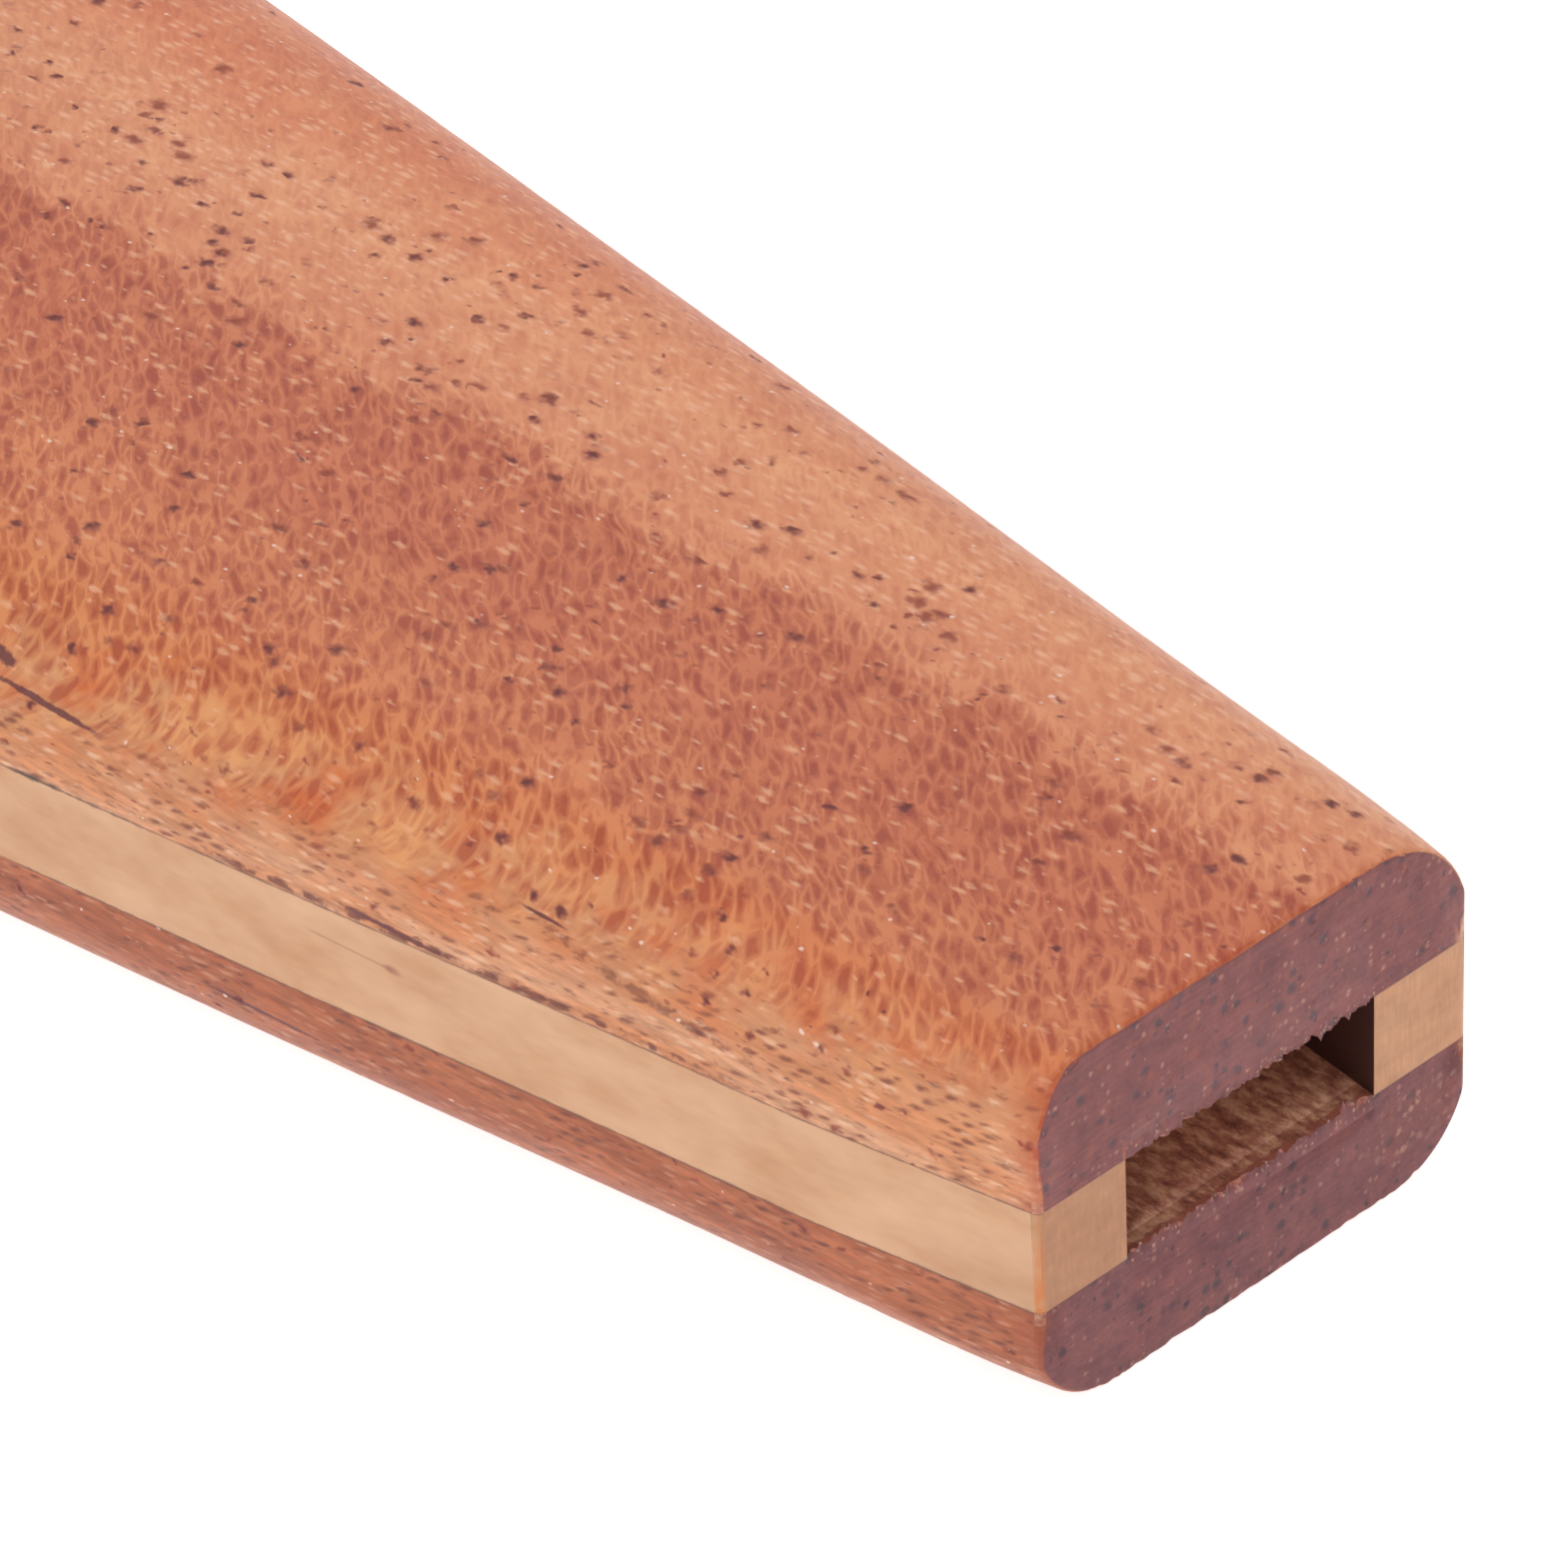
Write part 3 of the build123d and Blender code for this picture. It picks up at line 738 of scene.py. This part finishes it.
def makeBrass(name, light, dark, turning):
    material, tree, shader = newMaterial(name)
    place = inMillimetres(tree)[0]
    centred = put(tree, "ShaderNodeMapping", {"Vector": place, "Location": (0, -turretY, 0)}).outputs[0]
    cx, cy, cz = split(tree, centred)
    reach = calc(tree, "SQRT", plus(tree, times(tree, cx, cx), times(tree, cy, cy)))
    lathe = put(tree, "ShaderNodeCombineXYZ",
                {0: times(tree, reach, turning), 1: times(tree, cz, turning)}).outputs[0]
    rings = roughNoise(tree, lathe, 1.0, 4.0, 0.65)
    stain = roughNoise(tree, place, 0.35, 4.0, 0.6)
    spots = roughNoise(tree, place, 2.4, 3.0, 0.6)
    colour = mixColour(tree, between(tree, stain, 0.35, 0.7), light, dark)
    colour = mixColour(tree, times(tree, between(tree, spots, 0.60, 0.75), 0.35), colour,
                       tone(120, 84, 44))
    tree.links.new(colour, shader.inputs["Base Color"])
    shader.inputs["Metallic"].default_value = 1.0
    roughness = plus(tree, between(tree, rings, 0.2, 0.8, 0.20, 0.34),
                     times(tree, between(tree, stain, 0.4, 0.75), 0.14))
    tree.links.new(roughness, shader.inputs["Roughness"])
    bump = put(tree, "ShaderNodeBump", {"Height": rings, "Distance": 0.000012, "Strength": 0.5})
    tree.links.new(bump.outputs[0], shader.inputs["Normal"])
    return material


def makeCork():
    material, tree, shader = newMaterial("cork")
    place = inMillimetres(tree)[0]
    grains = put(tree, "ShaderNodeTexVoronoi", {"Vector": place, "Scale": 1.6, "Randomness": 1.0})
    luck = put(tree, "ShaderNodeSeparateColor", {0: grains.outputs["Color"]}).outputs[0]
    colour = ramp(tree, luck,
                  [(0.0, tone(166, 118, 78)), (0.6, tone(196, 148, 102)), (1.0, tone(128, 84, 54))])
    fine = roughNoise(tree, place, 5.0, 3.0)
    colour = tinted(tree, colour, ramp(tree, fine, [(0.3, grey(0.85)), (0.7, grey(1.05))]))
    tree.links.new(colour, shader.inputs["Base Color"])
    bump = put(tree, "ShaderNodeBump", {"Height": fine, "Distance": 0.00006, "Strength": 0.8})
    tree.links.new(bump.outputs[0], shader.inputs["Normal"])
    shader.inputs["Roughness"].default_value = 0.85
    return material


def makeFilm():
    material, tree, shader = newMaterial("waxedFilm")
    place = inMillimetres(tree)[0]
    cloud = roughNoise(tree, place, 0.5, 4.0, 0.6)
    colour = ramp(tree, cloud, [(0.3, tone(232, 222, 200)), (0.7, tone(246, 240, 224))])
    fibres = longNoise(tree, place, (3.0, 0.7, 1.0), 4.0, 0.7)
    colour = tinted(tree, colour, ramp(tree, fibres, [(0.3, grey(0.93)), (0.7, grey(1.02))]))
    tree.links.new(colour, shader.inputs["Base Color"])
    bump = put(tree, "ShaderNodeBump", {"Height": fibres, "Distance": 0.00003, "Strength": 0.5})
    tree.links.new(bump.outputs[0], shader.inputs["Normal"])
    tree.links.new(between(tree, cloud, 0.2, 0.8, 0.28, 0.42), shader.inputs["Roughness"])
    shader.inputs["Subsurface Weight"].default_value = 0.25
    shader.inputs["Subsurface Radius"].default_value = (0.002, 0.0015, 0.001)
    return material


hardwoodTop = makeHardwood("redHardwoodTop", topWood, coreHigh.z, -1.0)
hardwoodUnder = makeHardwood("redHardwoodUnder", underWood, coreLow.z, 1.0)
maple = makeMaple()
brassTurned = makeBrass("turnedBrass", tone(214, 176, 104), tone(196, 152, 84), 14.0)
brassScrew = makeBrass("screwBrass", tone(206, 164, 92), tone(178, 134, 72), 9.0)
cork = makeCork()
film = makeFilm()
print("materials made")


def give(piece, material):
    piece.data.materials.clear()
    piece.data.materials.append(material)


def declare(piece, node, body):
    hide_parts(node)
    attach(piece, body)


tornEdge = {"depth": 0.9, "height": 0.55, "step": 0.075, "rows": 6, "roof": 0.20, "floor": 0.20}
mouthEdge = {"reach": 1.4, "step": 0.34, "halfWidth": 8.9, "nearRim": 0.4, "unevenness": 0.06}


def makeTornBar(name, zLow, zHigh):
    # a bar that fills a rebate in the board's edge at the slot, cut fine enough to fray
    long = slotRight - slotLeft
    steps = round(long / tornEdge["step"])
    clearSelection()
    bpy.ops.mesh.primitive_grid_add(x_subdivisions=tornEdge["rows"], y_subdivisions=tornEdge["rows"],
                                    size=1, location=(0, 0, 0), rotation=(0, math.pi / 2, 0))
    bar = bpy.context.object
    bar.name = name
    settle(bar)
    bar.data.name = name
    for vertex in bar.data.vertices:
        vertex.co = Vector((slotLeft * mm, (mouthY + (vertex.co.y + 0.5) * tornEdge["depth"]) * mm,
                            (zLow + (vertex.co.z + 0.5) * (zHigh - zLow)) * mm))
    editAll(bar)
    for _ in range(steps):
        bpy.ops.mesh.extrude_region_move(TRANSFORM_OT_translate={"value": (long / steps * mm, 0, 0)})
    bpy.ops.mesh.select_all(action="SELECT")
    bpy.ops.mesh.normals_make_consistent(inside=False)
    closeEdit()
    return bar


def cutRebate(board, zLow, zHigh):
    clearSelection()
    bpy.ops.mesh.primitive_cube_add(size=1)
    tool = bpy.context.object
    tool.scale = Vector((slotRight - slotLeft, 2 * tornEdge["depth"], zHigh - zLow)) * mm
    tool.location = Vector(((slotRight + slotLeft) / 2, mouthY, (zHigh + zLow) / 2)) * mm
    settle(tool)
    cutAway(board, tool)


def ridge(x, seed, pitch):                # jagged line along the slot, from 0 to 1
    total = 0.0
    for octave in range(4):
        size = pitch / 2 ** octave
        total += abs(noise.noise(Vector((x / size, seed, octave * 7.3)))) / 1.5 ** octave
    return min(total * 1.1, 1.0)


def fray(bar, faceZ, inward, reach, seed, splinters):
    # inward is the way into the board from the slot, up for the roof and down for the floor
    for vertex in bar.data.vertices:
        x, y, z = vertex.co / mm
        ends = min((x - slotLeft) / 0.35, (slotRight - x) / 0.35, 1.0)
        if ends <= 0:
            continue
        fromFace = abs(z - faceZ)
        fromFront = y - mouthY
        near = max(0.0, 1 - fromFace / tornEdge["height"])
        near *= max(0.0, 1 - fromFront / tornEdge["depth"]) ** 2
        bite = (ridge(x, seed, 1.1) - 0.95) * reach * 1.25
        tip = 0.0
        for place, width, length in splinters:
            tip = max(tip, length * max(0.0, 1 - abs(x - place) / width))
        push = (ridge(x + 40, seed + 3, 0.7) - 0.25) * 0.30 * near * near * ends
        vertex.co.z += inward * (bite - tip) * near * ends * mm
        vertex.co.y += max(push, 0.0) * mm


def roughenMouth(board, side):
    # the sawn edge at the mouth is a little uneven: cut that end into strips, then nudge the rim
    back = (mouthY + mouthEdge["reach"]) * mm
    editAll(board)
    bpy.ops.mesh.bisect(plane_co=(0, back, 0), plane_no=(0, 1, 0))
    count = round(2 * mouthEdge["halfWidth"] / mouthEdge["step"])
    for index in range(count + 1):
        closeEdit()
        clearPicks(board)
        for polygon in board.data.polygons:
            polygon.select = polygon.center.y < back
        bpy.ops.object.mode_set(mode="EDIT")
        cutX = mouthEdge["halfWidth"] * (2 * index / count - 1) * mm
        bpy.ops.mesh.bisect(plane_co=(cutX, 0, 0), plane_no=(1, 0, 0))
    closeEdit()
    rimZ = (topHigh.z if side > 0 else 0.0) * mm
    nearRim = mouthEdge["nearRim"] * mm
    for vertex in board.data.vertices:
        x, y, z = vertex.co
        inside = 1 - min(abs(x / mm) / (mouthEdge["halfWidth"] + mouthEdge["step"]), 1)
        if y < mouthY * mm + nearRim and abs(z - rimZ) < nearRim and inside > 0:
            nudge = noise.noise(Vector((x / mm * 1.1, side * 5.0, 0)))
            nudge += noise.noise(Vector((x / mm * 3.0, 9.0, side)))
            nudge = abs(nudge) * mouthEdge["unevenness"] * min(inside * 8, 1) * mm
            vertex.co.z -= side * nudge
            vertex.co.y += nudge


def makeTopBoard():
    board = copyOfNode("top_board", "topBoardWood")
    low = coreHigh.z
    cutRebate(board, low - 0.5, low + tornEdge["height"])
    roughenMouth(board, 1)
    bar = makeTornBar("roofFibres", low, low + tornEdge["height"])
    splinters = [(3.15, 0.17, 0.42), (3.6, 0.5, 0.16), (-2.6, 0.2, 0.12), (0.9, 0.15, 0.15),
                 (4.5, 0.1, 0.2)]
    fray(bar, low, 1, tornEdge["roof"], 2.0, splinters)
    fuse(board, [bar])
    give(board, hardwoodTop)
    return softShade(board, 28)


def makeBottomBoard():
    board = copyOfNode("bottom_board", "bottomBoardWood")
    high = coreLow.z
    cutRebate(board, high - tornEdge["height"], high + 0.5)
    roughenMouth(board, -1)
    bar = makeTornBar("floorFibres", high - tornEdge["height"], high)
    splinters = [(-4.9, 0.16, 0.34), (-4.2, 0.12, 0.16), (-2.2, 0.15, 0.16), (-0.8, 0.2, 0.18),
                 (1.2, 0.15, 0.14), (4.3, 0.14, 0.46), (4.6, 0.4, 0.22)]
    fray(bar, high, -1, tornEdge["floor"], 9.0, splinters)
    fuse(board, [bar])
    give(board, hardwoodUnder)
    return softShade(board, 28)


def makeStrip(node):
    strip = copyOfNode(node, node.replace("core_strip", "maple_strip"))
    give(strip, maple)
    return softShade(strip, 28)


declare(makeTopBoard(), "top_board", "body")
declare(makeBottomBoard(), "bottom_board", "body")
for node in ("left_core_strip", "right_core_strip"):
    declare(makeStrip(node), node, "body")
print("body made")


thread = {
    "pitch": 1.5, "depth": 0.30, "bite": 0.12, "halfFoot": 0.36, "halfTip": 0.12, "steps": 72,
    "start": 0.75,                        # height of the first turn above the cap's foot
}
capShape = {
    "headHeight": 3.2, "holeRadius": 5.2, "webThickness": 1.6, "spigotInside": 8.62, "spigotRadius": 10.32,
    "crown": 0.9, "foot": 0.35, "groove": 11.3, "grooveHalf": 0.22, "grooveDepth": 0.16,
    "dish": 0.28, "reeds": 56, "reedDepth": 0.24, "turns": 2,
}
collarShape = {"boreRadius": 10.4, "turns": 3}
filmShape = {"rings": 30, "thickness": 0.03, "wrinkle": 0.05, "clampRadius": 8.6}


def turned(name, steps, outline):
    # a turned piece, drawn ring by ring about the turret's axis; the outline is (radius, height)
    clearSelection()
    radius, height = outline[0]
    bpy.ops.mesh.primitive_circle_add(vertices=steps, radius=radius * mm,
                                      location=(0, turretY * mm, height * mm))
    piece = bpy.context.object
    piece.name = name
    piece.data.name = name
    settle(piece)
    editAll(piece)
    for nextRadius, nextHeight in outline[1:] + outline[:1]:
        rise = (0, 0, (nextHeight - height) * mm)
        grow = nextRadius / radius
        bpy.ops.mesh.extrude_edges_move(TRANSFORM_OT_translate={"value": rise})
        bpy.ops.transform.resize(value=(grow, grow, 1),
                                 center_override=(0, turretY * mm, nextHeight * mm))
        radius, height = nextRadius, nextHeight
    bpy.ops.mesh.select_all(action="SELECT")
    bpy.ops.mesh.remove_doubles(threshold=0.000001)
    bpy.ops.mesh.normals_make_consistent(inside=False)
    closeEdit()
    return piece


def bend(centreRadius, centreHeight, radius, start, end, count=5):      # points round a corner, in degrees
    points = []
    for index in range(count):
        angle = math.radians(start + (end - start) * index / (count - 1))
        points.append((centreRadius + radius * math.cos(angle), centreHeight + radius * math.sin(angle)))
    return points


def makeThread(name, rootRadius, way, firstZ, turns):
    # one helical ridge, its foot sunk in the wall; way is 1 outwards and -1 inwards
    clearSelection()
    bpy.ops.mesh.primitive_plane_add(size=1)
    ridgePiece = bpy.context.object
    ridgePiece.name = name
    ridgePiece.data.name = name
    foot, tip = rootRadius - way * thread["bite"], rootRadius + way * thread["depth"]
    for vertex in ridgePiece.data.vertices:
        up = 1 if vertex.co.y > 0 else -1
        if vertex.co.x < 0:
            vertex.co = Vector((foot, 0, up * thread["halfFoot"])) * mm
        else:
            vertex.co = Vector((tip, 0, up * thread["halfTip"])) * mm
    turn = ridgePiece.modifiers.new("turn", "SCREW")
    turn.axis = "Z"
    turn.angle = 2 * math.pi
    turn.screw_offset = thread["pitch"] * mm
    turn.iterations = turns
    turn.steps = turn.render_steps = thread["steps"]
    pick(ridgePiece)
    bpy.ops.object.modifier_apply(modifier=turn.name)
    editAll(ridgePiece)
    bpy.ops.mesh.remove_doubles(threshold=0.000001)
    bpy.ops.mesh.select_all(action="DESELECT")
    bpy.ops.mesh.select_non_manifold()
    bpy.ops.mesh.fill()
    bpy.ops.mesh.select_all(action="SELECT")
    bpy.ops.mesh.normals_make_consistent(inside=False)
    closeEdit()
    ridgePiece.location = Vector((0, turretY, firstZ)) * mm
    return settle(ridgePiece)


def reedEdge(cap):
    # finger reeds round the head, dying away over its rounded crown
    for vertex in cap.data.vertices:
        x, y = vertex.co.x, vertex.co.y - turretY * mm
        radius = math.hypot(x, y)
        fade = (radius / mm - capHigh.x + capShape["crown"]) / capShape["crown"]
        if fade <= 0:
            continue
        wave = 0.5 - 0.5 * math.cos(capShape["reeds"] * math.atan2(y, x))
        shrink = 1 - capShape["reedDepth"] * mm * wave ** 2 * min(fade, 1) / radius
        vertex.co.x = x * shrink
        vertex.co.y = y * shrink + turretY * mm


def makeCap():
    shape = capShape
    base, top = capLow.z, capHigh.z
    rim, foot, crown, dish = capHigh.x, shape["foot"], shape["crown"], shape["dish"]
    root = shape["spigotRadius"] - thread["depth"]
    inside, hole, groove = shape["spigotInside"], shape["holeRadius"], shape["groove"]
    headZ, webZ = top - shape["headHeight"], top - shape["webThickness"]
    grooveHalf, grooveZ = shape["grooveHalf"], top - shape["grooveDepth"]
    outline = [(inside, base + 0.15), (inside + 0.15, base), (root - 0.2, base), (root, base + 0.2),
               (root, headZ - 0.15), (root + 0.15, headZ), (rim - foot, headZ)]
    outline += bend(rim - foot, headZ + foot, foot, -70, 0, 4)
    outline += bend(rim - crown, top - crown, crown, 0, 90, 7)
    outline += [(groove + grooveHalf, top), (groove + 0.07, grooveZ), (groove - 0.07, grooveZ),
                (groove - grooveHalf, top)]
    outline += [(groove - 0.6, top - 0.03), (groove - 1.2, top - dish * 0.8), (8.6, top - dish),
                (hole + 1.7, top - dish), (hole + 1.35, top - 0.05)]
    outline += bend(hole + 0.7, top - 0.7, 0.7, 90, 180, 6)
    outline += [(hole, webZ + 0.15), (hole + 0.15, webZ), (inside, webZ)]
    cap = turned("capBrass", shape["reeds"] * 6, outline)
    reedEdge(cap)
    ridgePiece = makeThread("capThread", root, 1, base + thread["start"], shape["turns"])
    fuse(cap, [ridgePiece])
    give(cap, brassTurned)
    return softShade(cap, 32)


def makeCollarThread():
    # the ridge inside the collar runs half a pitch away from the cap's, so they pass each other
    firstZ = capLow.z + thread["start"] - thread["pitch"] / 2
    piece = makeThread("collarThread", collarShape["boreRadius"], -1, firstZ, collarShape["turns"])
    give(piece, brassTurned)
    return softShade(piece, 32)


def easedCopy(node, name, material, width):
    piece = copyOfNode(node, name)
    editAll(piece)
    bpy.ops.mesh.select_all(action="DESELECT")
    bpy.ops.mesh.edges_select_sharp(sharpness=math.radians(40))
    bpy.ops.mesh.bevel(offset=width * mm, segments=3, affect="EDGES")
    closeEdit()
    give(piece, material)
    return softShade(piece, 32)


def makeMembrane():
    # waxed film, clamped flat at its edge and faintly crinkled inside it
    radius = filmHigh.x
    middle = (filmLow.z + filmHigh.z) / 2
    clearSelection()
    bpy.ops.mesh.primitive_circle_add(vertices=128, radius=radius * mm, fill_type="NGON",
                                      location=(0, turretY * mm, middle * mm))
    piece = bpy.context.object
    piece.name = piece.data.name = "membraneFilm"
    settle(piece)
    editAll(piece)
    for _ in range(filmShape["rings"]):
        bpy.ops.mesh.inset(thickness=radius / (filmShape["rings"] + 1) * mm)
    closeEdit()
    for vertex in piece.data.vertices:
        x, y = vertex.co.x / mm, vertex.co.y / mm - turretY
        free = min(max((filmShape["clampRadius"] - math.hypot(x, y)) / 1.5, 0), 1)
        fold = noise.noise(Vector((x * 0.55 + y * 0.2, y * 0.16, 3.0))) * 0.7
        fold += noise.noise(Vector((x * 0.3, y * 1.1 + x * 0.4, 8.0))) * 0.5
        vertex.co.z += fold * filmShape["wrinkle"] * free * mm
    pick(piece)
    thick = piece.modifiers.new("thick", "SOLIDIFY")
    thick.thickness = filmShape["thickness"] * mm
    thick.offset = 0
    bpy.ops.object.modifier_apply(modifier=thick.name)
    give(piece, film)
    return softShade(piece, 40)


declare(makeCap(), "cap", "cap")
collarThread = makeCollarThread()
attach(collarThread, "body")
declare(easedCopy("slip_ring", "slipRingBrass", brassScrew, 0.12), "slip_ring", "lift")
declare(easedCopy("gasket", "gasketCork", cork, 0.12), "gasket", "body")
declare(makeMembrane(), "membrane", "body")
give(frame["nodes"]["collar"], brassTurned)
give(frame["nodes"]["collar_screws"], brassScrew)
print("turret made")


studio = {
    "floorSize": 1.6,
    "floorLight": tone(200, 200, 200),
    "floorDark": tone(196, 196, 196),
    "floorGlow": 0.8,
    "sky": 0.72,
    "lampAim": Vector((0, -0.03, 0)),
    "key": {"at": (-0.45, 0.05, 0.55), "size": 0.5, "power": 1.15},
    "fill": {"at": (0.35, 0.45, 0.5), "size": 0.5, "power": 0.6},
}


def makeFloor():
    clearSelection()
    bpy.ops.mesh.primitive_plane_add(size=studio["floorSize"])
    floor = bpy.context.object
    floor.name = "floor"
    material, tree, shader = newMaterial("paleFloor")
    place = inMillimetres(tree)[0]
    mottle = roughNoise(tree, place, 0.02, 3.0)
    tree.links.new(ramp(tree, mottle, [(0.3, studio["floorDark"]), (0.7, studio["floorLight"])]),
                   shader.inputs["Base Color"])
    shader.inputs["Roughness"].default_value = 0.9
    shader.inputs["Emission Color"].default_value = (1, 1, 1, 1)
    shader.inputs["Emission Strength"].default_value = studio["floorGlow"]
    give(floor, material)


def makeLamp(name, lamp):
    data = bpy.data.lights.new(name, "AREA")
    data.size = lamp["size"]
    data.energy = lamp["power"]
    light = bpy.data.objects.new(name, data)
    light.location = lamp["at"]
    light.rotation_euler = (studio["lampAim"] - light.location).to_track_quat("-Z", "Y").to_euler()
    bpy.context.scene.collection.objects.link(light)


def makeSky():
    world = bpy.data.worlds.new("studioSky")
    world.use_nodes = True
    world.node_tree.nodes["Background"].inputs["Color"].default_value = (1, 1, 1, 1)
    world.node_tree.nodes["Background"].inputs["Strength"].default_value = studio["sky"]
    bpy.context.scene.world = world


view = {
    "aim": Vector((-4.448, mouthY + 17.6, topHigh.z)) * mm,   # on the upper face, behind the mouth
    "azimuth": 42.582, "elevation": 36.096, "roll": -2.630,
    "distance": 0.30264, "lens": 206.5,
}


def makeCamera():
    data = bpy.data.cameras.new("camera")
    data.lens = view["lens"]
    data.sensor_width = 36
    data.clip_start = 0.01
    camera = bpy.data.objects.new("camera", data)
    turn = Matrix.Rotation(math.radians(-view["azimuth"]), 4, "Z")
    turn = turn @ Matrix.Rotation(math.radians(90 - view["elevation"]), 4, "X")
    turn = turn @ Matrix.Rotation(math.radians(view["roll"]), 4, "Z")
    camera.matrix_world = Matrix.Translation(view["aim"]) @ turn @ Matrix.Translation((0, 0,
                                                                                       view["distance"]))
    bpy.context.scene.collection.objects.link(camera)
    bpy.context.scene.camera = camera


makeFloor()
makeLamp("keyLight", studio["key"])
makeLamp("fillLight", studio["fill"])
makeSky()
makeCamera()
bpy.context.scene.view_settings.view_transform = "Standard"
print("studio made")
